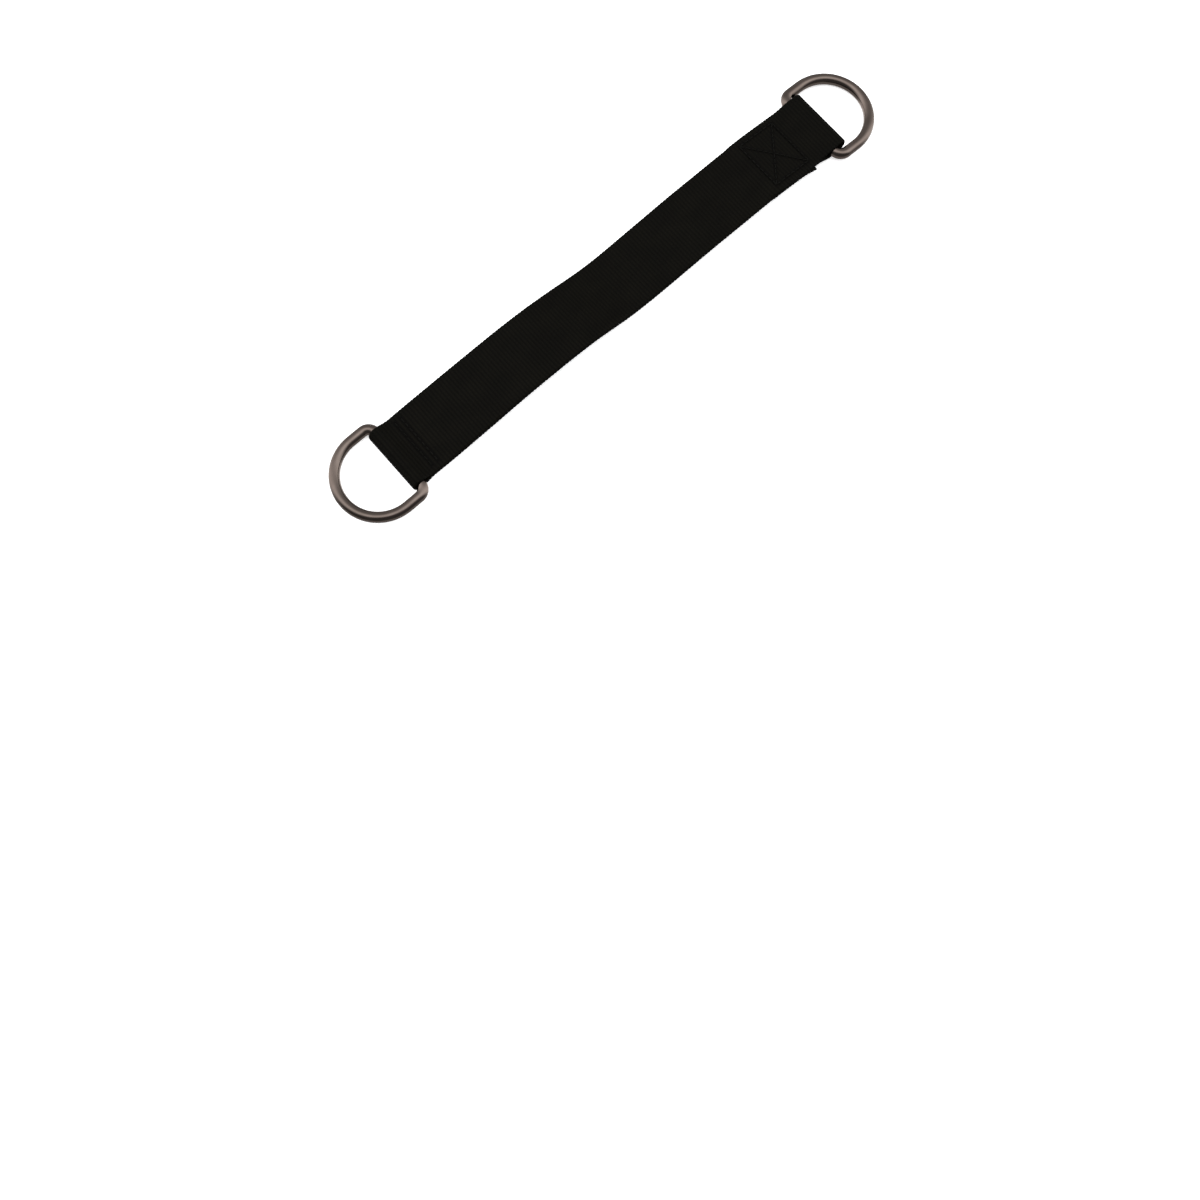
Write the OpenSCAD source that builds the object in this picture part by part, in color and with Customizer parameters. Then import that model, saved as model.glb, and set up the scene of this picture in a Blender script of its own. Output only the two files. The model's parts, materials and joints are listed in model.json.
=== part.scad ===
// Swing hanging strap: one length of webbing, folded flat and sewn round a D-ring at each end.
//
// The webbing starts at a cut end under the right ring and runs left as the lower ply. It turns
// round the left ring's bar, comes back as the upper ply, turns round the right ring's bar and
// ends as a tail between the two plies. Rows of stitches hold the left loop and a sewn box with
// a cross holds the right one.
//
// +X runs along the belt, +Y across it and +Z up. The origin lies on the surface that the strap
// rests on, under the middle of its whole length. All lengths are in millimetres. The belt is
// cut into short lengths that hinge on each other, which is how a limp belt can bend.

/* [Webbing] */
// Width of the flat webbing
web_w = 38; // [37:0.5:39]
// Thickness of one ply
ply_t = 1.7; // [1.4:0.1:1.7]
// Width that the webbing is drawn in to where it passes round a ring's bar
neck_w = 36.2; // [34:0.1:36.4]
// Clear space between plies that lie on each other
ply_gap = 0.05; // [0.02:0.01:0.1]

/* [Lie of the belt] */
// Distance between the centres of the two ring bars
bar_span = 294.3; // [284:0.1:304]
// Height of the left ring's bar
left_bar_z = 4.85; // [4.8:0.05:6]
// Height of the right ring's bar
right_bar_z = 4.85; // [4.8:0.05:6]
// Place of the bend nearest the left ring
left_outer_x = -106; // [-110:1:-100]
// Height of the belt at that bend
left_outer_z = 7.6; // [4:0.1:10]
// Place of the top of the hump left of the middle
hump_x = -61; // [-66:1:-56]
// Height of the belt at the hump
hump_z = 9.8; // [4:0.1:12]
// Where the belt meets the surface, left of the middle
flat_left_x = -16; // [-22:1:-10]
// Where the belt leaves the surface, right of the middle
flat_right_x = 22; // [16:1:28]
// Place of the bend half way up the slope right of the middle
rise_x = 58; // [52:1:64]
// Height of the belt at that bend
rise_z = 6; // [3:0.1:8]
// Place of the bend nearest the right ring
right_outer_x = 94; // [90:1:95]
// Height of the belt at that bend
right_outer_z = 7.9; // [4:0.1:10]

/* [Bends] */
// Clear space between two lengths of belt where they hinge
bend_gap = 1.3; // [1.2:0.1:2]

/* [Ends of the belt] */
// Distance from the left bar at which the two plies come together
left_close = 9.5; // [8:0.5:12]
// Distance from the right bar at which the upper ply and the tail come together
right_close = 13; // [11:0.5:14]
// Distance from the right bar to the lower ply's cut end
cut_back = 14.4; // [14.2:0.1:20]
// Distance from the right bar to the end of the tail
tail_len = 43.9; // [42:0.1:44]
// Distance over which the belt thins from three plies to two past the tail
step_run = 5; // [4:0.5:6]

/* [D-rings] */
// Diameter of the ring wire
wire_d = 6; // [5:0.5:6]
// Width inside the ring
ring_inside_w = 40.5; // [40:0.5:42]
// Height inside the ring, from the bar to the top of the bow
ring_inside_h = 30; // [28:0.5:32]
// Radius inside the two corners of the ring
ring_corner_r = 2; // [1.5:0.5:3]
// Clear space all round the bar inside its loop of webbing
bar_clearance = 0.08; // [0.05:0.01:0.1]

/* [Stitching] */
// Diameter of the sewing thread
thread_d = 0.6; // [0.5:0.1:1]
// Length of one stitch
stitch_len = 2.6; // [2:0.1:3]
// Distance from one stitch to the next
stitch_pitch = 3.2; // [3.1:0.1:4]
// Distance from the left bar to its first row of stitches
left_row_x = 10.6; // [10:0.1:12]
// Distance between the two rows at the left ring
row_gap = 4; // [3:0.5:6]
// Distance from the right bar to the near side of the sewn box
box_from = 17; // [16:0.5:20]
// Distance from the right bar to the far side of the sewn box
box_to = 41; // [36:0.5:42]
// Distance from the webbing's edge to the stitches
edge_margin = 4; // [3:0.5:8]

/* [Hidden] */
$fn = 64;

web_colour = "#1c1b18";
thread_colour = "#232220";
ring_colour = "#5a504b";

// Ring: distances are along its own plane, from the bar's centre
wire_r = wire_d / 2;
corner_c = ring_corner_r + wire_r;
side_y = ring_inside_w / 2 + wire_r;
bar_half = side_y - corner_c;
tip_c = ring_inside_h + wire_d;
bow_c = tip_c - side_y;

// Each ring hangs from its bar until the tip of its bow rests on the surface
left_drop = asin((left_bar_z - wire_r) / tip_c);
right_drop = asin((right_bar_z - wire_r) / tip_c);
left_reach = tip_c * cos(left_drop) + wire_r;
right_reach = tip_c * cos(right_drop) + wire_r;
left_bar_x = left_reach - (left_reach + bar_span + right_reach) / 2;

// Plies: distances are from the middle of the belt's thickness
ply_pitch = ply_t + ply_gap;
two_ply = ply_pitch / 2;
three_ply = ply_pitch;
loop_in = wire_r + bar_clearance;
loop_out = loop_in + ply_t;
loop_mid = loop_in + ply_t / 2;

// Points that the middle of the belt passes through, as [x, z]
left_bar = [left_bar_x, left_bar_z];
left_outer = [left_outer_x, left_outer_z];
hump = [hump_x, hump_z];
flat_left = [flat_left_x, two_ply + ply_t / 2];
flat_right = [flat_right_x, two_ply + ply_t / 2];
rise = [rise_x, rise_z];
right_outer = [right_outer_x, right_outer_z];
right_bar = [left_bar_x + bar_span, right_bar_z];

left_end_len = norm(left_outer - left_bar) - bend_gap / 2;
right_end_len = norm(right_outer - right_bar) - bend_gap / 2;

leg_steps = 10;
neck_taper = 7;
outside = 20;
full_reach = 80;

// Goes smoothly from 0 to 1 as t does
function ease(t) = let (c = max(0, min(1, t))) c * c * (3 - 2 * c);
function ease_slope(t) = let (c = max(0, min(1, t))) 6 * c * (1 - c);

// A point between stations a and b, each [x, z], moved off along the ply's normal
function ply_point(a, b, t, off) =
    let (slope = (b[1] - a[1]) / (b[0] - a[0]) * ease_slope(t), n = norm([1, slope]))
    [a[0] + (b[0] - a[0]) * t - off * slope / n, a[1] + (b[1] - a[1]) * ease(t) + off / n];

// One face of a ply that eases from each station to the next
function ply_face(stations, off) = [
    for (k = [1 : len(stations) - 1])
        let (a = stations[k - 1], b = stations[k], steps = a[1] == b[1] ? 1 : leg_steps)
        for (i = [k == 1 ? 0 : 1 : steps]) ply_point(a, b, i / steps, off)
];

function reversed(list) = [for (i = [len(list) - 1 : -1 : 0]) list[i]];

// Turns a shape seen from the side into a strip across the belt
module strip(width) {
    rotate([90, 0, 0]) linear_extrude(height = width, center = true) children();
}

// The half turn of webbing round a bar
module half_turn() {
    color(web_colour) strip(neck_w) difference() {
        circle(r = loop_out);
        circle(r = loop_in);
        translate([0, -outside]) square([outside, 2 * outside]);
    }
}

// One ply at an end of the belt: it eases from each station to the next, and is narrower at the ring
module end_ply(stations) {
    color(web_colour) intersection() {
        strip(web_w) polygon(concat(
            ply_face(stations, ply_t / 2), reversed(ply_face(stations, -ply_t / 2))
        ));
        translate([0, 0, -outside]) linear_extrude(height = 2 * outside) polygon([
            [-1, -neck_w / 2], [loop_out, -neck_w / 2], [loop_out + neck_taper, -web_w / 2],
            [full_reach, -web_w / 2], [full_reach, web_w / 2],
            [loop_out + neck_taper, web_w / 2], [loop_out, neck_w / 2], [-1, neck_w / 2]
        ]);
    }
}

// Places a length of belt that runs from point p towards point q
module along(p, q) {
    turn = -atan2(q[1] - p[1], q[0] - p[0]);
    translate([p[0], 0, p[1]]) rotate([0, turn, 0]) children();
}

// Places an end of the belt: x runs from the bar towards the middle
module left_end() {
    along(left_bar, left_outer) children();
}

module right_end() {
    turn = -atan2(right_outer[1] - right_bar[1], right_bar[0] - right_outer[0]);
    translate([right_bar[0], 0, right_bar[1]]) mirror([1, 0, 0]) rotate([0, turn, 0]) children();
}

// One flat ply of a length of belt, side 1 for the upper ply and -1 for the lower
module ply(p, q, side) {
    length = norm(q - p) - bend_gap;
    color(web_colour) along(p, q)
        translate([bend_gap / 2, -web_w / 2, side * two_ply - ply_t / 2]) cube([length, web_w, ply_t]);
}

// A D-ring with its bar on the Y axis and its bow towards -X
module d_ring() {
    rotate([90, 0, 0]) cylinder(r = wire_r, h = 2 * bar_half, center = true);
    for (side = [0, 1]) mirror([0, side, 0]) {
        translate([-corner_c, bar_half, 0])
            rotate_extrude(angle = 90) translate([corner_c, 0]) circle(r = wire_r);
        translate([-bow_c, side_y, 0]) rotate([0, 90, 0]) cylinder(r = wire_r, h = bow_c - corner_c);
    }
    translate([-bow_c, 0, 0]) rotate([0, 0, 90])
        rotate_extrude(angle = 180) translate([side_y, 0]) circle(r = wire_r);
}

// Stitches in a line from a to b on both faces of webbing that is 2 * half thick
module stitch_line(a, b, half) {
    count = floor(norm(b - a) / stitch_pitch);
    turn = atan2(b[1] - a[1], b[0] - a[0]);
    lift = half + thread_d / 2 + ply_gap;
    for (i = [0 : count - 1], face = [-1, 1]) {
        spot = a + (b - a) * (i + 0.5) / count;
        translate([spot[0], spot[1], face * lift]) rotate([0, 0, turn]) rotate([0, 90, 0])
            cylinder(d = thread_d, h = stitch_len, center = true, $fn = 16);
    }
}

module d_ring_left() {
    color(ring_colour) translate([left_bar[0], 0, left_bar[1]]) rotate([0, -left_drop, 0]) d_ring();
}

module d_ring_right() {
    color(ring_colour) translate([right_bar[0], 0, right_bar[1]]) mirror([1, 0, 0])
        rotate([0, -right_drop, 0]) d_ring();
}

module webbing_turn_left() { left_end() half_turn(); }
module webbing_turn_right() { right_end() half_turn(); }

module upper_ply_left_end() {
    left_end() end_ply([[0, loop_mid], [left_close, two_ply], [left_end_len, two_ply]]);
}

module lower_ply_left_end() {
    left_end() end_ply([[0, -loop_mid], [left_close, -two_ply], [left_end_len, -two_ply]]);
}

module upper_ply_right_end() {
    right_end() end_ply([
        [0, loop_mid], [right_close, three_ply], [tail_len, three_ply],
        [tail_len + step_run, two_ply], [right_end_len, two_ply]
    ]);
}

module webbing_tail() {
    right_end() end_ply([[0, -loop_mid], [right_close, 0], [tail_len, 0]]);
}

module lower_ply_right_end() {
    right_end() end_ply([
        [cut_back, -three_ply], [tail_len, -three_ply],
        [tail_len + step_run, -two_ply], [right_end_len, -two_ply]
    ]);
}

module seam_left() {
    reach = web_w / 2 - edge_margin;
    color(thread_colour) left_end() for (x = [left_row_x, left_row_x + row_gap])
        stitch_line([x, -reach], [x, reach], two_ply + ply_t / 2);
}

module seam_right() {
    reach = web_w / 2 - edge_margin;
    half = three_ply + ply_t / 2;
    corners = [[box_from, -reach], [box_to, -reach], [box_to, reach], [box_from, reach]];
    centre = [(box_from + box_to) / 2, 0];
    color(thread_colour) right_end() for (i = [0 : 3]) {
        side = corners[(i + 1) % 4] - corners[i];
        step = side / norm(side);
        stitch_line(corners[i] + step / 2, corners[(i + 1) % 4] - step / 2, half);
        slant = (centre - corners[i]) / norm(centre - corners[i]);
        stitch_line(corners[i] + 2 * slant, centre - slant, half);
    }
}

module upper_ply_left_outer() { ply(left_outer, hump, 1); }
module lower_ply_left_outer() { ply(left_outer, hump, -1); }
module upper_ply_left_inner() { ply(hump, flat_left, 1); }
module lower_ply_left_inner() { ply(hump, flat_left, -1); }
module upper_ply_middle() { ply(flat_left, flat_right, 1); }
module lower_ply_middle() { ply(flat_left, flat_right, -1); }
module upper_ply_right_inner() { ply(flat_right, rise, 1); }
module lower_ply_right_inner() { ply(flat_right, rise, -1); }
module upper_ply_right_outer() { ply(rise, right_outer, 1); }
module lower_ply_right_outer() { ply(rise, right_outer, -1); }

d_ring_left();
d_ring_right();
webbing_turn_left();
webbing_turn_right();
webbing_tail();
upper_ply_left_end();
upper_ply_left_outer();
upper_ply_left_inner();
upper_ply_middle();
upper_ply_right_inner();
upper_ply_right_outer();
upper_ply_right_end();
lower_ply_left_end();
lower_ply_left_outer();
lower_ply_left_inner();
lower_ply_middle();
lower_ply_right_inner();
lower_ply_right_outer();
lower_ply_right_end();
seam_left();
seam_right();
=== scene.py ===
"""Looks of the swing hanging strap: doubled black webbing sewn round a dark nickel D-ring at each end.

The webbing is one strip. It starts at its cut end under the right ring, runs left as the lower
ply, turns round the left bar, comes back as the upper ply, turns round the right bar and ends as
a tail between the plies. The strip is worked out whole, row by row, and then cut into pieces that
meet in the middle of each length of belt, so that each piece holds one joint.

Distances are in millimetres until a mesh is made. x runs along the belt and z is up.
"""

import json
import math
from types import SimpleNamespace

import bpy
import numpy as np
from mathutils import Matrix, Vector


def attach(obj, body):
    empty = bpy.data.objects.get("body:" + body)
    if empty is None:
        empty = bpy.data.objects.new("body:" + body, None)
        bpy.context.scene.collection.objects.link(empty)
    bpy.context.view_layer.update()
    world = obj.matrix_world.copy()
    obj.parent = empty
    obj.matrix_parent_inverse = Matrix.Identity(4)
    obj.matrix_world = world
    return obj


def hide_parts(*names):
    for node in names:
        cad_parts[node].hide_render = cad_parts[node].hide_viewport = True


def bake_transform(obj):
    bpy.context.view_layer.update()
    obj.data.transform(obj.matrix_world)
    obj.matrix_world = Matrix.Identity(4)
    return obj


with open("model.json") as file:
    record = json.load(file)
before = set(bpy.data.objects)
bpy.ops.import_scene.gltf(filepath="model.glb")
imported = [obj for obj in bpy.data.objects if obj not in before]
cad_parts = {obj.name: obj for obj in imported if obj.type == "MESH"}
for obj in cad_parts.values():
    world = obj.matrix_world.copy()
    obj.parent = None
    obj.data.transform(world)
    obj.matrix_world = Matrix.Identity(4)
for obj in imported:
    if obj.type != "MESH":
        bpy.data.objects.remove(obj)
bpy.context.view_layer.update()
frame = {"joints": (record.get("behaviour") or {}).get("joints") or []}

MM = 0.001
JOINTS = {j["name"]: j for j in frame["joints"]}


def pivot(joint):
    """Where a joint's axis crosses the middle of the belt, as [x, z]."""
    x, _, z = JOINTS[joint]["pos_m"]
    return np.array([x, z]) / MM


# The belt's bodies from left to right, and the joints between them
BELT = [
    "belt_left_end", "belt_left_outer", "belt_left_inner", "belt_middle",
    "belt_right_inner", "belt_right_outer", "belt_right_end",
]
BENDS = ["bend_left_1", "bend_left_2", "bend_left_3", "bend_right_3", "bend_right_2", "bend_right_1"]
LEFT_BAR = pivot("ring_left_swing")
RIGHT_BAR = pivot("ring_right_swing")
BEND_X = [pivot(name)[0] for name in BENDS]
CUT_X = [(a + b) / 2 for a, b in zip(BEND_X, BEND_X[1:])]

# Webbing. A pick is one rib across the strip, and the yarns run along it.
WEB_W = 38
PLY_T = 1.7
PLY_GAP = 0.05
PICK = 2.0
YARN = 1.0
RIB_DEPTH = 0.26
RIB_ROUNDNESS = 0.7
CHECKER_DEPTH = 0.09
GROOVE_DEPTH = 0.05
# The faces that lie on each other are pressed flatter, and their ribs wander, to keep light from
# showing between the plies from the side. A little still shows exactly edge-on.
INNER_PRESS = 0.6
INNER_BOW = 1.2
INNER_BOW_RUN = 2.5

# The webbing's edges, which are thinner and flatter. The ribs leave scallops in them. EDGE_SHADE
# is how deep in the weave the webbing's painted shade takes them to be.
EDGE_IN = 0.45
EDGE_REACH = 1.3
EDGE_THINNING = 0.35
EDGE_FLATTENING = 0.5
EDGE_SHADE = 0.1
SCALLOP = 0.2

# Its two cut ends, which are thinner and a little frayed. Each wave of the fray is its height,
# its rate across the strip and its start.
END_REACH = 0.9
END_THINNING = 0.3
FRAY_REACH = 1.5
FRAY_WAVES = [(0.22, 3.1, 0), (0.16, 7.7, 1), (0.1, 1.3, 2)]

# How finely the strip is made
ROWS_PER_PICK = 6
COLUMNS = 76
LINE_STEP = 0.05
TURN_POINTS = 300

# Rings
WIRE_R = 3
RING_INSIDE_W = 40.5
RING_INSIDE_H = 30
RING_CORNER_R = 2
RING_SIDES = 48
RING_STEP = 0.35

# Where the plies run, measured from the bars
BAR_CLEARANCE = 0.08
LOOP_MID = WIRE_R + BAR_CLEARANCE + PLY_T / 2
TWO_PLY = (PLY_T + PLY_GAP) / 2
THREE_PLY = PLY_T + PLY_GAP
LEFT_CLOSE = 9.5
RIGHT_CLOSE = 13
CUT_BACK = 14.4
TAIL_LEN = 43.9
STEP_RUN = 5
RIGHT_SLACK = 3.8

# Seams, measured from the bars
THREAD_R = 0.3
THREAD_TAPER = 0.25
THREAD_SIDES = 8
STITCH = 2.6
STITCH_PITCH = 3.2
STITCH_POINTS = 11
STITCH_DIP = 0.3
STITCH_RISE = 0.42
STITCH_ROUNDNESS = 0.6
LEFT_ROWS = (10.6, 14.6)
BOX = (17, 41)
EDGE_MARGIN = 4
SINK = 0.24
SINK_REACH = 0.9

# The strip's five stretches, in order
LOWER, LEFT_TURN, UPPER, RIGHT_TURN, TAIL = range(5)

# How the belt lies: x, height of its middle, how far its near edge is above its far edge, and
# how far it strays sideways
LIE = np.array([
    (LEFT_BAR[0], LEFT_BAR[1], 0.0, 0.3),
    (-128, 6.2, -1.9, 0.2),
    (-105, 8.0, -1.0, 0.2),
    (-81, 9.6, 0.2, 0.2),
    (-61, 10.2, 0.6, 0.2),
    (-45, 9.9, 1.8, 0.2),
    (-27, 8.0, 3.2, 0.2),
    (-14, 5.4, 3.2, 0.2),
    (-3, 3.5, 2.5, 0.2),
    (9, 3.0, 1.8, 0.2),
    (21, 3.6, 1.1, 0.2),
    (39, 5.0, 0.6, 0.2),
    (57, 6.4, 0.1, 0.2),
    (75, 7.1, -0.2, 0.2),
    (94, 7.9, -0.4, 0.2),
    (110, 8.2, 0.0, 0.2),
    (126, 6.9, 0.0, 0.2),
    (RIGHT_BAR[0], RIGHT_BAR[1], 0.0, 0.2),
    (RIGHT_BAR[0] + RIGHT_SLACK, RIGHT_BAR[1], 0.0, 0.2),
])
LIE_X, LIE_HEIGHT, LIE_NEAR, LIE_STRAY = LIE.T
SLOPE_SPAN = 0.5

# The world's light along the direction that is up in the camera's view, from straight against it
# (0) to straight along it (1). Metal mirrors it as one bright band.
BAND_DIRECTION = (0.637, 0.734, 0.238)
BAND = [
    (0.0, 0.06), (0.28, 0.06), (0.35, 0.10), (0.43, 0.38), (0.5, 0.70),
    (0.6, 0.85), (0.7, 0.70), (0.8, 0.40), (0.9, 0.21), (1.0, 0.21),
]
# The least light from below the floor's level, and the downward slope where it is all there
GROUND_LIGHT = 0.24
GROUND_FULL_Z = -0.3
WORLD_STRENGTH = 2.0


# ---------------------------------------------------------------- curves


def ease(t):
    """A soft step from 0 at t = 0 to 1 at t = 1."""
    t = np.clip(t, 0, 1)
    return t * t * (3 - 2 * t)


def unit(v):
    """The vectors v at length 1."""
    return v / np.linalg.norm(v, axis=-1, keepdims=True)


def run_length(line):
    """How far each point of a line is along it."""
    return np.concatenate([[0], np.cumsum(np.linalg.norm(np.diff(line, axis=0), axis=1))])


def smooth_through(xs, ys, x):
    """A smooth curve through the points (xs, ys), read at x."""
    slope = np.gradient(ys, xs)
    i = np.clip(np.searchsorted(xs, x) - 1, 0, len(xs) - 2)
    run = xs[i + 1] - xs[i]
    t = (x - xs[i]) / run
    return (
        (1 + 2 * t) * (1 - t) ** 2 * ys[i]
        + t * (1 - t) ** 2 * run * slope[i]
        + t * t * (3 - 2 * t) * ys[i + 1]
        + t * t * (t - 1) * run * slope[i + 1]
    )


def near_line(x, y, a, b):
    """Distance from (x, y) to the line from a to b."""
    a, d = np.array(a, float), np.array(b, float) - np.array(a, float)
    t = np.clip(((x - a[0]) * d[0] + (y - a[1]) * d[1]) / (d @ d), 0, 1)
    return np.hypot(x - a[0] - t * d[0], y - a[1] - t * d[1])


# ---------------------------------------------------------------- where the strip runs


def belt_frame(x):
    """The belt's middle at x, with the directions along it, across it and up from it."""
    x = np.atleast_1d(np.asarray(x, float))
    height = smooth_through(LIE_X, LIE_HEIGHT, x)
    near = smooth_through(LIE_X, LIE_NEAR, x)
    stray = smooth_through(LIE_X, LIE_STRAY, x)
    lo = np.clip(x - SLOPE_SPAN, LIE_X[0], None)
    hi = np.clip(x + SLOPE_SPAN, None, LIE_X[-1])
    rise = smooth_through(LIE_X, LIE_HEIGHT, hi) - smooth_through(LIE_X, LIE_HEIGHT, lo)
    slope = rise / (hi - lo)
    zero = np.zeros_like(x)
    along = unit(np.stack([np.ones_like(x), zero, slope], 1))
    roll = np.arcsin(near / WEB_W)
    across = np.stack([zero, np.cos(roll), -np.sin(roll)], 1)
    up = unit(np.cross(along, across))
    across = np.cross(up, along)
    return np.stack([x, stray, height], 1), along, across, up


def closing(ply, distance, reach):
    """How far a ply's middle is off the belt's middle as the loop round a bar closes."""
    return LOOP_MID + (ply - LOOP_MID) * ease(distance / reach)


def beside_tail(from_right):
    """The same away from the bars, where the tail may lie between the plies."""
    return TWO_PLY + (THREE_PLY - TWO_PLY) * ease((TAIL_LEN + STEP_RUN - from_right) / STEP_RUN)


def upper_height(x):
    """Height of the upper ply's middle over the belt's middle."""
    from_left, from_right = x - LEFT_BAR[0], RIGHT_BAR[0] - x
    left = closing(TWO_PLY, from_left, LEFT_CLOSE)
    right = closing(THREE_PLY, from_right, RIGHT_CLOSE)
    right = np.where(from_right > RIGHT_CLOSE, beside_tail(from_right), right)
    return np.where(from_left < from_right, left, right)


def lower_height(x):
    """Depth of the lower ply's middle under the belt's middle."""
    from_left, from_right = x - LEFT_BAR[0], RIGHT_BAR[0] - x
    left = closing(TWO_PLY, from_left, LEFT_CLOSE)
    return np.where(from_left < from_right, left, beside_tail(from_right))


def tail_height(x):
    """Depth of the tail's middle under the belt's middle."""
    return LOOP_MID * (1 - ease((RIGHT_BAR[0] - x) / RIGHT_CLOSE))


def lower_shift(x):
    """The lower ply is sewn a little askew, so that its cut end shows past the near edge."""
    askew = -0.3 * ease((x - 95) / 30)
    cut_end = -1.1 * ease((x - 121) / 12) ** 2
    left_end = -0.4 * ease((-60 - x) / 45)
    wander = 0.1 * np.sin(x / 31)
    return askew + cut_end - 0.25 + left_end + wander


def upper_shift(x):
    """The upper ply wanders a little sideways."""
    return 0.15 * np.sin(x / 47 + 1)


def tail_shift(x):
    """The tail leaves the turn in line with the upper ply and ends a little off it."""
    from_bar = RIGHT_BAR[0] - x
    drift = 0.7 * from_bar / TAIL_LEN
    bow = 0.5 * np.sin(math.pi * from_bar / TAIL_LEN)
    return upper_shift(RIGHT_BAR[0]) + drift - bow


def ply_line(x0, x1, height, shift):
    """The middle line of a ply from x0 to x1, with the direction across it."""
    x = np.linspace(x0, x1, int(abs(x1 - x0) / LINE_STEP) + 2)
    middle, _, across, up = belt_frame(x)
    return middle + up * height(x)[:, None] + across * shift(x)[:, None], across


def turn_line(x, end, start_shift, end_shift):
    """The half turn at an end of the belt. end is -1 at the left and 1 at the right."""
    centre, along, across, up = belt_frame(x)
    angle = np.linspace(0, math.pi, TURN_POINTS)[1:-1, None]
    out = along * end
    centre = centre + across * (start_shift + (end_shift - start_shift) * ease(angle / math.pi))
    spoke = -end * np.cos(angle) * -up + np.sin(angle) * out
    return centre + LOOP_MID * spoke, np.repeat(across, len(angle), 0)


def strip_lines():
    """The whole strip's middle line at even steps, with the directions along, across and off it."""
    cut_x, tail_x = RIGHT_BAR[0] - CUT_BACK, RIGHT_BAR[0] - TAIL_LEN
    left, right = LEFT_BAR[0], RIGHT_BAR[0] + RIGHT_SLACK
    parts = {
        LOWER: ply_line(cut_x, left, lambda x: -lower_height(x), lower_shift),
        LEFT_TURN: turn_line(left, -1, lower_shift(left), upper_shift(left)),
        UPPER: ply_line(left, right, upper_height, upper_shift),
        RIGHT_TURN: turn_line(right, 1, upper_shift(right), tail_shift(right)),
        TAIL: ply_line(right, tail_x, lambda x: -tail_height(x), tail_shift),
    }
    line = np.concatenate([points for points, _ in parts.values()])
    across = np.concatenate([directions for _, directions in parts.values()])
    section = np.concatenate([np.full(len(points), k) for k, (points, _) in parts.items()])
    far = run_length(line)
    s = np.arange(0, far[-1], PICK / ROWS_PER_PICK)
    even = np.stack([np.interp(s, far, line[:, k]) for k in range(3)], 1)
    across = unit(np.stack([np.interp(s, far, across[:, k]) for k in range(3)], 1))
    along = unit(np.gradient(even, axis=0))
    off = unit(np.cross(along, across))
    section = section[np.searchsorted(far, s).clip(0, len(section) - 1)]
    return s, even, along, across, off, section


# ---------------------------------------------------------------- the strip's surface


def seam_lines(end):
    """The seams at one end, as pairs of points: distance from the bar and place across the belt."""
    reach = WEB_W / 2 - EDGE_MARGIN
    if end < 0:
        return [((x, -reach), (x, reach)) for x in LEFT_ROWS]
    corners = [(BOX[0], -reach), (BOX[1], -reach), (BOX[1], reach), (BOX[0], reach)]
    sides = [(corners[i], corners[(i + 1) % 4]) for i in range(4)]
    return sides + [(corners[0], corners[2]), (corners[1], corners[3])]


def valley(s):
    """0 on a rib's crest and 1 in the valley between two ribs."""
    return 1 - np.abs(np.sin(math.pi * s / PICK)) ** RIB_ROUNDNESS


def relief(s, v, face):
    """How far the woven surface lies under its highest points. face is 1 outside and -1 inside."""
    rib = valley(s)
    checker = 0.5 - 0.5 * face * np.cos(math.pi * v / YARN) * np.cos(math.pi * np.floor(s / PICK))
    groove = 0.5 + 0.5 * np.cos(2 * math.pi * (v / YARN + 0.5))
    return RIB_DEPTH * rib + CHECKER_DEPTH * checker * (1 - rib) + GROOVE_DEPTH * groove


def stitch_sink(x, v, section):
    """How far the seams pull the outer face in."""
    sink = np.zeros_like(v)
    for end, bar in ((-1, LEFT_BAR), (1, RIGHT_BAR)):
        here = (section != TAIL) & ((x < 0) == (end < 0))
        for a, b in seam_lines(end):
            d = near_line(np.abs(x - bar[0])[here][:, None], v[here], a, b)
            sink[here] = np.maximum(sink[here], SINK * np.exp(-((d / SINK_REACH) ** 2)))
    return sink


def surface_normals(ring):
    """The normal at every point, worked out over the whole strip so that its pieces share them."""
    along = np.gradient(ring, axis=0)
    round_it = np.roll(ring, -1, 1) - np.roll(ring, 1, 1)
    return unit(np.cross(along, round_it))


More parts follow.
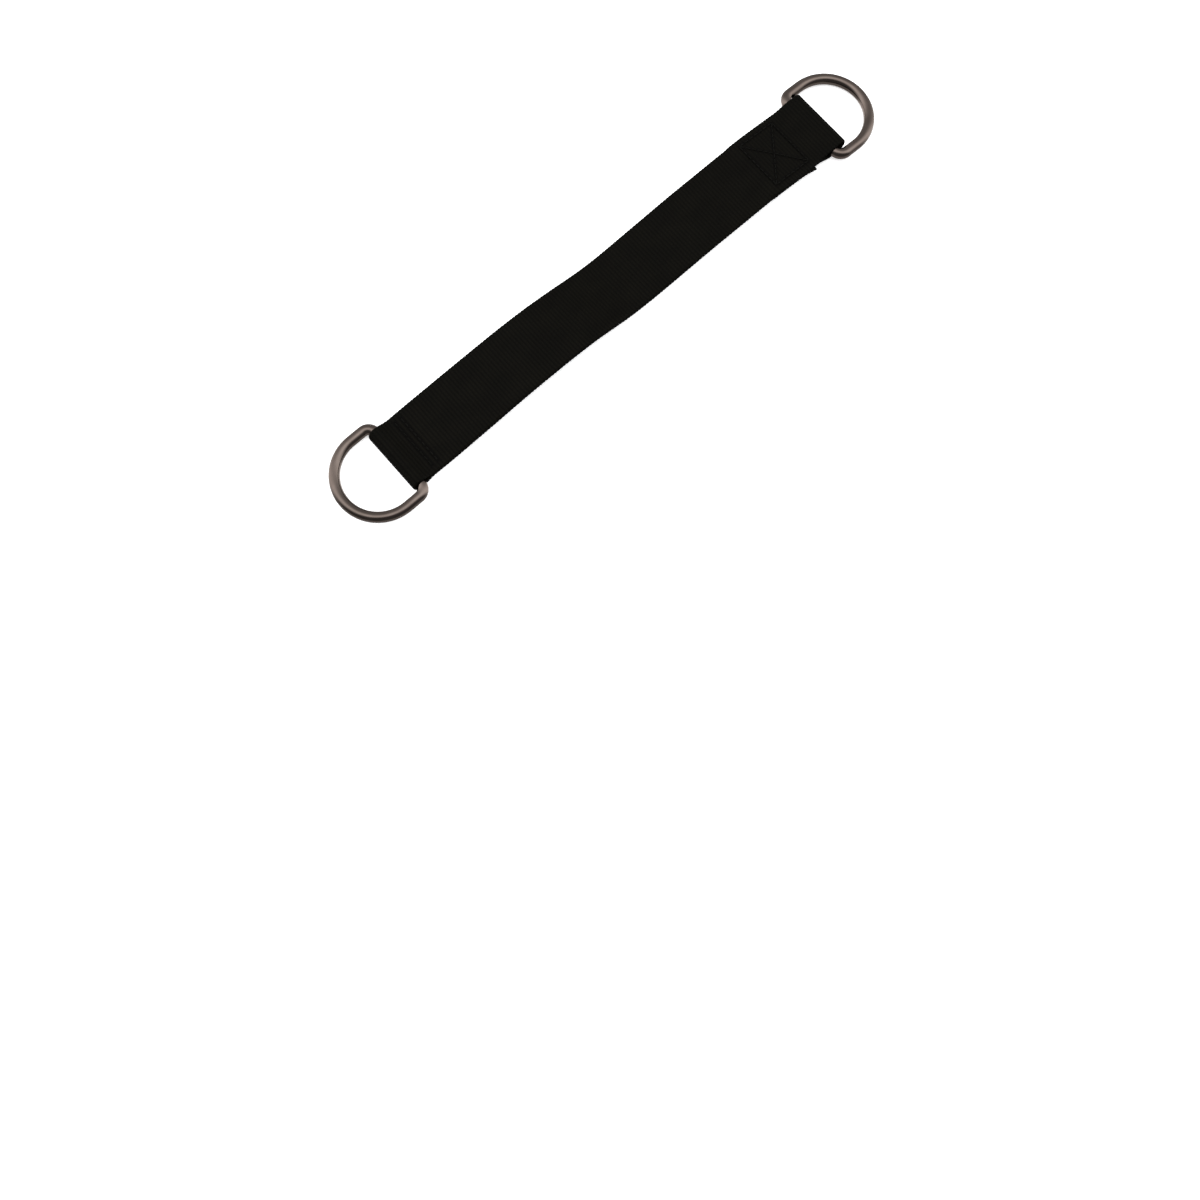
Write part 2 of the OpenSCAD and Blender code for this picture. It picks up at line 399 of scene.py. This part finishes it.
def woven_strip():
    """Every point of the strip's surface: rows along the strip, each a ring round its section."""
    s, line, along, across, off, section = strip_lines()
    x = line[:, 0]
    v = np.tile(np.linspace(-1, 1, COLUMNS + 1) * (WEB_W / 2 - EDGE_IN), (len(s), 1))
    to_edge = np.clip((np.abs(v) - (WEB_W / 2 - EDGE_REACH)) / (EDGE_REACH - EDGE_IN), 0, 1)
    to_end = np.minimum(s, s[-1] - s)[:, None]
    half = PLY_T / 2 * (1 - EDGE_THINNING * to_edge ** 2)
    half = half * (1 - END_THINNING * (1 - ease(to_end / END_REACH)))
    sink = stitch_sink(x, v, section)
    top_relief = relief(s[:, None], v, 1)
    wandering = s[:, None] + INNER_BOW * np.sin(v / INNER_BOW_RUN)
    bottom_relief = INNER_PRESS * relief(wandering, v, -1)
    top = half - top_relief * (1 - EDGE_FLATTENING * to_edge) - sink
    bottom = half - bottom_relief * (1 - EDGE_FLATTENING * to_edge)
    rim_v = (WEB_W / 2 - SCALLOP * valley(s))[:, None]
    fray = sum(height * np.sin(rate * v + start) for height, rate, start in FRAY_WAVES)
    fray = along[:, None] * (fray * (1 - ease(to_end / FRAY_REACH)))[..., None]

    def place(v, lift):
        return line[:, None] + across[:, None] * v[..., None] + off[:, None] * lift[..., None]

    level = np.zeros((len(s), 1))
    upper = place(v, top) + fray
    lower = place(v, -bottom) + fray
    ring = np.concatenate([upper, place(rim_v, level), lower[:, ::-1], place(-rim_v, level)], 1)
    # depth is how deep each point lies in the weave; the webbing's colour darkens with it as painted
    # shade.
    rim_depth = np.full((len(s), 1), EDGE_SHADE)
    return SimpleNamespace(
        s=s,
        x=x,
        section=section,
        ring=ring,
        flat_v=np.concatenate([v, rim_v, v[:, ::-1], -rim_v], 1),
        depth=np.concatenate([top_relief + sink, rim_depth, bottom_relief[:, ::-1], rim_depth], 1),
        normals=surface_normals(ring),
    )


# ---------------------------------------------------------------- the strip's pieces


def mesh_object(name, points, faces, flat_faces=0):
    """An object from points in millimetres, smooth-shaded but for its last flat_faces faces."""
    mesh = bpy.data.meshes.new(name)
    mesh.from_pydata((np.asarray(points) * MM).tolist(), [], faces)
    mesh.update()
    smooth = np.ones(len(faces), bool)
    smooth[len(faces) - flat_faces:] = False
    mesh.polygons.foreach_set("use_smooth", smooth)
    obj = bpy.data.objects.new(name, mesh)
    bpy.context.scene.collection.objects.link(obj)
    return obj


def corner_vertices(mesh):
    """The vertex of every face corner."""
    corner = np.zeros(len(mesh.loops), np.int32)
    mesh.loops.foreach_get("vertex_index", corner)
    return corner


def add_uv(mesh, name, where):
    """A UV layer from one place for each vertex."""
    uv = mesh.uv_layers.new(name=name)
    uv.data.foreach_set("uv", where[corner_vertices(mesh)].astype(np.float32).ravel())


def side_faces(rows, size):
    """The faces between rows, each of which is a ring of size points."""
    i = np.arange(rows - 1)[:, None] * size
    j = np.arange(size)[None, :]
    k = (j + 1) % size
    return np.stack([i + j, i + size + j, i + size + k, i + k], -1).reshape(-1, 4).tolist()


def cap_faces(size):
    """The faces of a cut end, as places in its ring of size points."""
    far, near = COLUMNS + 1, size - 1
    faces = []
    for c in range(COLUMNS):
        faces.append([c, c + 1, near - c - 2, near - c - 1])
    faces.append([near, 0, near - 1])
    faces.append([COLUMNS, far, far + 1])
    return faces


def strip_piece(name, strip, first, last):
    """A closed piece of the strip from one row to another."""
    cut = slice(first, last + 1)
    rows, size = last - first + 1, strip.ring.shape[1]
    last_row = (rows - 1) * size
    cap = cap_faces(size)
    faces = side_faces(rows, size) + cap
    faces += [[last_row + p for p in face][::-1] for face in cap]
    obj = mesh_object(name, strip.ring[cut].reshape(-1, 3), faces, flat_faces=2 * len(cap))
    mesh = obj.data
    add_uv(mesh, "weave", np.stack([strip.flat_v[cut].ravel(), np.repeat(strip.s[cut], size)], 1))
    # Both end rows take the whole strip's normals. Blender works out the rest, given as zeros.
    corner = corner_vertices(mesh)
    on_sides = np.arange(len(corner)) < 4 * last_row
    shared = on_sides & ((corner < size) | (corner >= last_row))
    normals = np.zeros((len(corner), 3))
    normals[shared] = strip.normals[cut].reshape(-1, 3)[corner[shared]]
    mesh.normals_split_custom_set(normals.tolist())
    # The depth attribute drives the webbing's painted shade.
    depth = mesh.attributes.new("depth", "FLOAT", "POINT")
    depth.data.foreach_set("value", strip.depth[cut].ravel().astype(np.float32))
    return obj


def row_at(strip, section, x):
    """The row of a stretch that is nearest to x, moved to the start of a pick."""
    rows = np.flatnonzero(strip.section == section)
    row = rows[np.argmin(np.abs(strip.x[rows] - x))]
    return int(round(row / ROWS_PER_PICK) * ROWS_PER_PICK)


def webbing_plan(strip):
    """Each piece's name, its bend, its first and last row, and the CAD nodes it stands for."""
    low = [row_at(strip, LOWER, x) for x in CUT_X]
    high = [row_at(strip, UPPER, x) for x in CUT_X]
    lengths = [(k, BELT[k].replace("belt_", "")) for k in range(1, 5)]
    plan = [(
        "webbing_left_loop", 0, low[0], high[0],
        ["webbing_turn_left", "upper_ply_left_end", "lower_ply_left_end"],
    )]
    for k, place in lengths:
        plan.append((f"webbing_upper_{k + 1}", k, high[k - 1], high[k], [f"upper_ply_{place}"]))
    for k, place in lengths:
        plan.append((f"webbing_lower_{k + 1}", k, low[k], low[k - 1], [f"lower_ply_{place}"]))
    plan.append((
        "webbing_right_loop", 5, high[4], len(strip.s) - 1,
        ["upper_ply_right_outer", "upper_ply_right_end", "webbing_turn_right", "webbing_tail"],
    ))
    plan.append((
        "webbing_lower_6", 5, 0, low[4], ["lower_ply_right_outer", "lower_ply_right_end"],
    ))
    return plan


def build_webbing(material):
    """The whole strip in pieces, each with its flat length in metres."""
    strip = woven_strip()
    pieces = {}
    for name, bend, first, last, nodes in webbing_plan(strip):
        piece = strip_piece(name, strip, first, last)
        piece.data.materials.append(material)
        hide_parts(*nodes)
        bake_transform(piece)
        pieces[name] = (piece, (strip.s[last] - strip.s[first]) * MM)
    return pieces


# ---------------------------------------------------------------- rings and thread


def tube(line, normals, radius, sides, closed=False):
    """Points and faces of a round tube along a line. normals are square to the line."""
    line, normals = np.asarray(line, float), np.asarray(normals, float)
    if closed:
        along = unit(np.roll(line, -1, 0) - np.roll(line, 1, 0))
    else:
        along = unit(np.gradient(line, axis=0))
    other = np.cross(along, normals)
    turn = (np.arange(sides) / sides * 2 * math.pi)[None, :, None]
    ring = normals[:, None] * np.cos(turn) + other[:, None] * np.sin(turn)
    radius = np.broadcast_to(radius, (len(line),))
    points = (line[:, None] + ring * radius[:, None, None]).reshape(-1, 3)
    n = len(line)
    faces = []
    for i in range(n if closed else n - 1):
        a, b = i * sides, (i + 1) % n * sides
        for j in range(sides):
            k = (j + 1) % sides
            faces.append([a + j, a + k, b + k, b + j])
    if not closed:
        faces.append(list(range(sides))[::-1])
        faces.append([(n - 1) * sides + j for j in range(sides)])
    return points, faces


def ring_line():
    """The middle of a D-ring's wire: bar on the y axis, bow towards -x, as x and y."""
    corner = RING_CORNER_R + WIRE_R
    side_y = RING_INSIDE_W / 2 + WIRE_R
    bow_x = RING_INSIDE_H + 2 * WIRE_R - side_y

    def straight(a, b):
        n = max(2, int(math.dist(a, b) / RING_STEP))
        return [(a[0] + (b[0] - a[0]) * i / n, a[1] + (b[1] - a[1]) * i / n) for i in range(n)]

    def arc(cx, cy, r, a, b):
        n = int(abs(b - a) * r / RING_STEP)
        angles = [a + (b - a) * i / n for i in range(n)]
        return [(cx + r * math.cos(t), cy + r * math.sin(t)) for t in angles]

    bar = side_y - corner
    right = math.pi / 2
    return np.array(
        straight((0, -bar), (0, bar))
        + arc(-corner, bar, corner, 0, right)
        + straight((-corner, side_y), (-bow_x, side_y))
        + arc(-bow_x, 0, side_y, right, 3 * right)
        + straight((-bow_x, -side_y), (-corner, -side_y))
        + arc(-corner, -bar, corner, -right, 0)
    )


def build_ring(name, bar, end, body, node, material):
    """A D-ring that hangs from its bar until its bow rests on the surface."""
    flat = ring_line()
    line = np.concatenate([flat, np.zeros((len(flat), 1))], 1)
    square = np.tile([0, 0, 1.0], (len(line), 1))
    points, faces = tube(line, square, WIRE_R, RING_SIDES, closed=True)
    drop = math.asin((bar[1] - WIRE_R) / (RING_INSIDE_H + 2 * WIRE_R))
    turn = Matrix.Rotation(0 if end < 0 else math.pi, 4, "Z") @ Matrix.Rotation(-drop, 4, "Y")
    points = points @ np.array(turn.to_3x3()).T + np.array([bar[0], 0, bar[1]])
    ring = mesh_object(name, points, faces)
    round_it = np.tile(np.arange(RING_SIDES) / RING_SIDES, len(line))
    add_uv(ring.data, "wire", np.stack([round_it, np.repeat(run_length(flat), RING_SIDES)], 1))
    ring.data.materials.append(material)
    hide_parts(node)
    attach(ring, body)
    return ring


def stitch(bar, end, side, middle, step):
    """One stitch: a thread that rises out of the webbing and dips back. side is 1 on top."""
    t = np.linspace(-0.5, 0.5, STITCH_POINTS)
    flat = middle + np.outer(t, step * STITCH / np.linalg.norm(step))
    x = bar[0] - end * flat[:, 0]
    centre, _, across, up = belt_frame(x)
    if side > 0:
        lift, shift = upper_height(x), upper_shift(x)
    else:
        lift, shift = lower_height(x), lower_shift(x)
    arch = np.cos(math.pi * t) ** STITCH_ROUNDNESS
    lift = lift + PLY_T / 2 - SINK - STITCH_DIP + STITCH_RISE * arch
    line = centre + up * (side * lift)[:, None] + across * (flat[:, 1] + shift)[:, None]
    radius = THREAD_R * (1 - THREAD_TAPER + THREAD_TAPER * arch)
    return tube(line, up, radius, THREAD_SIDES)


def build_seam(name, end, body, node, material):
    """The stitches of one end, on both faces of the belt."""
    bar = LEFT_BAR if end < 0 else RIGHT_BAR
    points, faces, used = [], [], 0
    for side in (-1, 1):
        for a, b in seam_lines(end):
            a, b = np.array(a, float), np.array(b, float)
            count = int(np.linalg.norm(b - a) / STITCH_PITCH)
            step = (b - a) / count
            for i in range(count):
                thread, quads = stitch(bar, end, side, a + step * (i + 0.5), step)
                faces += [[used + p for p in face] for face in quads]
                points.append(thread)
                used += len(thread)
    seam = mesh_object(name, np.concatenate(points), faces)
    seam.data.materials.append(material)
    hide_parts(node)
    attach(seam, body)
    return seam


# ---------------------------------------------------------------- materials


class Tree:
    """A node tree, with short calls for the nodes used here."""

    def __init__(self, tree):
        self.tree = tree

    def link(self, source, socket):
        self.tree.links.new(source, socket)

    def add(self, kind, links=(), values=(), **settings):
        """A new node. links and values are by socket, and settings are the node's own."""
        node = self.tree.nodes.new(kind)
        for key, setting in settings.items():
            setattr(node, key, setting)
        for socket, value in dict(values).items():
            node.inputs[socket].default_value = value
        for socket, source in dict(links).items():
            self.link(source, node.inputs[socket])
        return node

    def ramp(self, source, stops):
        """A colour for source, from stops of place and colour."""
        node = self.add("ShaderNodeValToRGB", {"Fac": source})
        while len(node.color_ramp.elements) < len(stops):
            node.color_ramp.elements.new(0.5)
        for element, (at, colour) in zip(node.color_ramp.elements, stops):
            element.position = at
            element.color = (*colour, 1)
        return node.outputs["Color"]


class Material(Tree):
    """A material's node tree, with short calls for what its shader takes."""

    def __init__(self, name, **values):
        self.material = bpy.data.materials.new(name)
        self.material.use_nodes = True
        super().__init__(self.material.node_tree)
        self.shader = self.tree.nodes["Principled BSDF"]
        for key, value in values.items():
            self.shader.inputs[key.replace("_", " ")].default_value = value

    def scaled_uv(self, layer, scale):
        uv = self.add("ShaderNodeUVMap", uv_map=layer)
        mapping = self.add("ShaderNodeMapping", {"Vector": uv.outputs["UV"]}, {"Scale": scale})
        return mapping.outputs["Vector"]

    def in_object(self):
        return self.add("ShaderNodeTexCoord").outputs["Object"]

    def noise(self, place, detail, scale=1.0):
        values = {"Scale": scale, "Detail": detail}
        return self.add("ShaderNodeTexNoise", {"Vector": place}, values).outputs["Fac"]

    def multiply(self, a, b):
        kind = {"data_type": "RGBA", "blend_type": "MULTIPLY"}
        mix = self.add("ShaderNodeMix", {"A": a, "B": b}, {"Factor": 1}, **kind)
        return mix.outputs["Result"]

    def colour(self, source):
        self.link(source, self.shader.inputs["Base Color"])

    def roughness(self, source, low, high):
        """Roughness from low to high as source goes from 0 to 1."""
        rough = self.add("ShaderNodeMapRange", {"Value": source}, {"To Min": low, "To Max": high})
        self.link(rough.outputs["Result"], self.shader.inputs["Roughness"])

    def bump(self, source, strength):
        values = {"Strength": strength, "Distance": 0.0001}
        bump = self.add("ShaderNodeBump", {"Height": source}, values)
        self.link(bump.outputs["Normal"], self.shader.inputs["Normal"])


def webbing_material():
    """Black woven webbing: dull fibres, faded here and there, painted shade leaves rib crests paler.
    """
    m = Material("black_webbing", Specular_IOR_Level=0.06)
    depth = m.add("ShaderNodeAttribute", attribute_name="depth").outputs["Fac"]
    fibres = m.noise(m.scaled_uv("weave", (9, 1.1, 1)), detail=3.0)
    wear = m.noise(m.scaled_uv("weave", (0.09, 0.05, 1)), detail=2.0)
    # Painted shade: the colour darkens with the depth attribute in the rib valleys, along the seams'
    # sinks and at the rim.
    depth_shade = m.ramp(depth, [(0.0, (0.0028, 0.0026, 0.0017)), (0.3, (0.0008, 0.0007, 0.0005))])
    tint = m.ramp(fibres, [(0.3, (0.7, 0.7, 0.68)), (0.7, (1.35, 1.33, 1.3))])
    faded = m.ramp(wear, [(0.35, (0.85, 0.85, 0.85)), (0.7, (1.2, 1.19, 1.15))])
    m.colour(m.multiply(m.multiply(depth_shade, tint), faded))
    m.roughness(fibres, 0.5, 0.75)
    m.bump(fibres, strength=0.35)
    return m.material


def thread_material():
    """Black thread with a fine twist, a little glossier than the webbing."""
    m = Material("black_thread", Roughness=0.45, Specular_IOR_Level=0.09)
    values = {"Scale": 900.0, "Distortion": 1.0}
    twist = m.add("ShaderNodeTexWave", {"Vector": m.in_object()}, values).outputs["Fac"]
    m.colour(m.ramp(twist, [(0.2, (0.0022, 0.0021, 0.0016)), (0.8, (0.0050, 0.0048, 0.0038))]))
    m.bump(twist, strength=0.5)
    return m.material


def ring_material():
    """Dark polished nickel, faintly streaked along the wire and clouded."""
    m = Material("dark_nickel", Metallic=1.0)
    drawn = m.noise(m.scaled_uv("wire", (60, 0.12, 1)), detail=4.0)
    cloud = m.noise(m.in_object(), detail=3.0, scale=90.0)
    m.colour(m.ramp(cloud, [(0.35, (0.165, 0.132, 0.115)), (0.65, (0.200, 0.162, 0.143))]))
    m.roughness(drawn, 0.10, 0.24)
    m.bump(drawn, strength=0.08)
    return m.material


# ---------------------------------------------------------------- stage


def build_camera():
    """The camera stands high over the near left side of the strap, turned and rolled a little."""
    azimuth, elevation, roll = math.radians(-47.3), math.radians(76.2), math.radians(6.2)
    distance, target = 753, Vector((-117.2, -124.5, 0))
    back = Vector((
        math.sin(azimuth) * math.cos(elevation),
        -math.cos(azimuth) * math.cos(elevation),
        math.sin(elevation),
    ))
    right = Vector((math.cos(azimuth), math.sin(azimuth), 0))
    up = back.cross(right)
    right, up = (
        math.cos(roll) * right + math.sin(roll) * up,
        math.cos(roll) * up - math.sin(roll) * right,
    )
    data = bpy.data.cameras.new("camera")
    data.lens = 44.24
    data.sensor_width = 36
    data.clip_start = 0.01
    camera = bpy.data.objects.new("camera", data)
    bpy.context.scene.collection.objects.link(camera)
    turn = Matrix((right, up, back)).transposed().to_4x4()
    camera.matrix_world = Matrix.Translation((target + back * distance) * MM) @ turn
    bpy.context.scene.camera = camera


def build_floor():
    """A wide pale floor, bright enough to show white, which metal doesn't mirror."""
    half = 3.0
    corners = [(-half, -half, 0), (half, -half, 0), (half, half, 0), (-half, half, 0)]
    mesh = bpy.data.meshes.new("floor")
    mesh.from_pydata(corners, [], [(0, 1, 2, 3)])
    floor = bpy.data.objects.new("floor", mesh)
    bpy.context.scene.collection.objects.link(floor)
    m = Material(
        "pale_floor",
        Base_Color=(0.93, 0.93, 0.93, 1),
        Roughness=0.9,
        Emission_Color=(1, 1, 1, 1),
        Emission_Strength=0.4,
        Specular_IOR_Level=0.1,
    )
    mesh.materials.append(m.material)
    floor.visible_glossy = False


def build_fill_light():
    """A large soft light from above that metal doesn't mirror."""
    place = Vector((-0.3, -0.2, 1.6))
    data = bpy.data.lights.new("fill_softbox", "AREA")
    data.shape = "RECTANGLE"
    data.size = 2.0
    data.size_y = 2.0
    data.energy = 40
    light = bpy.data.objects.new("fill_softbox", data)
    light.location = place
    light.rotation_euler = (-place).to_track_quat("-Z", "Y").to_euler()
    light.visible_glossy = False
    bpy.context.scene.collection.objects.link(light)


def world_light(tree):
    """How bright the studio is in each direction: the band, or the ground where that is more."""
    way = tree.add("ShaderNodeTexCoord").outputs["Generated"]
    along = tree.add(
        "ShaderNodeVectorMath", {0: way}, {1: BAND_DIRECTION}, operation="DOT_PRODUCT"
    )
    shift = tree.add("ShaderNodeMapRange", {"Value": along.outputs["Value"]}, {"From Min": -1})
    band = tree.ramp(shift.outputs["Result"], [(at, (level,) * 3) for at, level in BAND])
    height = tree.add("ShaderNodeSeparateXYZ", {"Vector": way}).outputs["Z"]
    ground = tree.add(
        "ShaderNodeMapRange",
        {"Value": height},
        {"From Max": GROUND_FULL_Z, "To Max": GROUND_LIGHT},
        interpolation_type="SMOOTHSTEP",
    )
    both = tree.add("ShaderNodeMath", {0: band, 1: ground.outputs["Result"]}, operation="MAXIMUM")
    level = tree.add(
        "ShaderNodeMath", {0: both.outputs["Value"]}, {1: WORLD_STRENGTH}, operation="MULTIPLY"
    )
    return level.outputs["Value"]


def build_world():
    """The studio that metal mirrors, with plain white where the camera looks past the floor."""
    world = bpy.data.worlds.new("studio")
    bpy.context.scene.world = world
    world.use_nodes = True
    tree = Tree(world.node_tree)
    white = (1, 1, 1, 1)
    studio = world.node_tree.nodes["Background"]
    studio.inputs["Color"].default_value = white
    tree.link(world_light(tree), studio.inputs["Strength"])
    paper = tree.add("ShaderNodeBackground", values={"Color": white})
    seen = tree.add("ShaderNodeMixShader", {
        "Fac": tree.add("ShaderNodeLightPath").outputs["Is Camera Ray"],
        1: studio.outputs["Background"],
        2: paper.outputs["Background"],
    })
    tree.link(seen.outputs["Shader"], world.node_tree.nodes["World Output"].inputs["Surface"])


build_camera()
build_floor()
build_fill_light()
build_world()
bpy.context.scene.view_settings.view_transform = "Standard"

web = webbing_material()
thread = thread_material()
metal = ring_material()
webbing = build_webbing(web)
left_seam = build_seam("seam_left_thread", -1, "belt_left_end", "seam_left", thread)
right_seam = build_seam("seam_right_thread", 1, "belt_right_end", "seam_right", thread)
build_ring("ring_left_wire", LEFT_BAR, -1, "ring_left", "d_ring_left", metal)
build_ring("ring_right_wire", RIGHT_BAR, 1, "ring_right", "d_ring_right", metal)
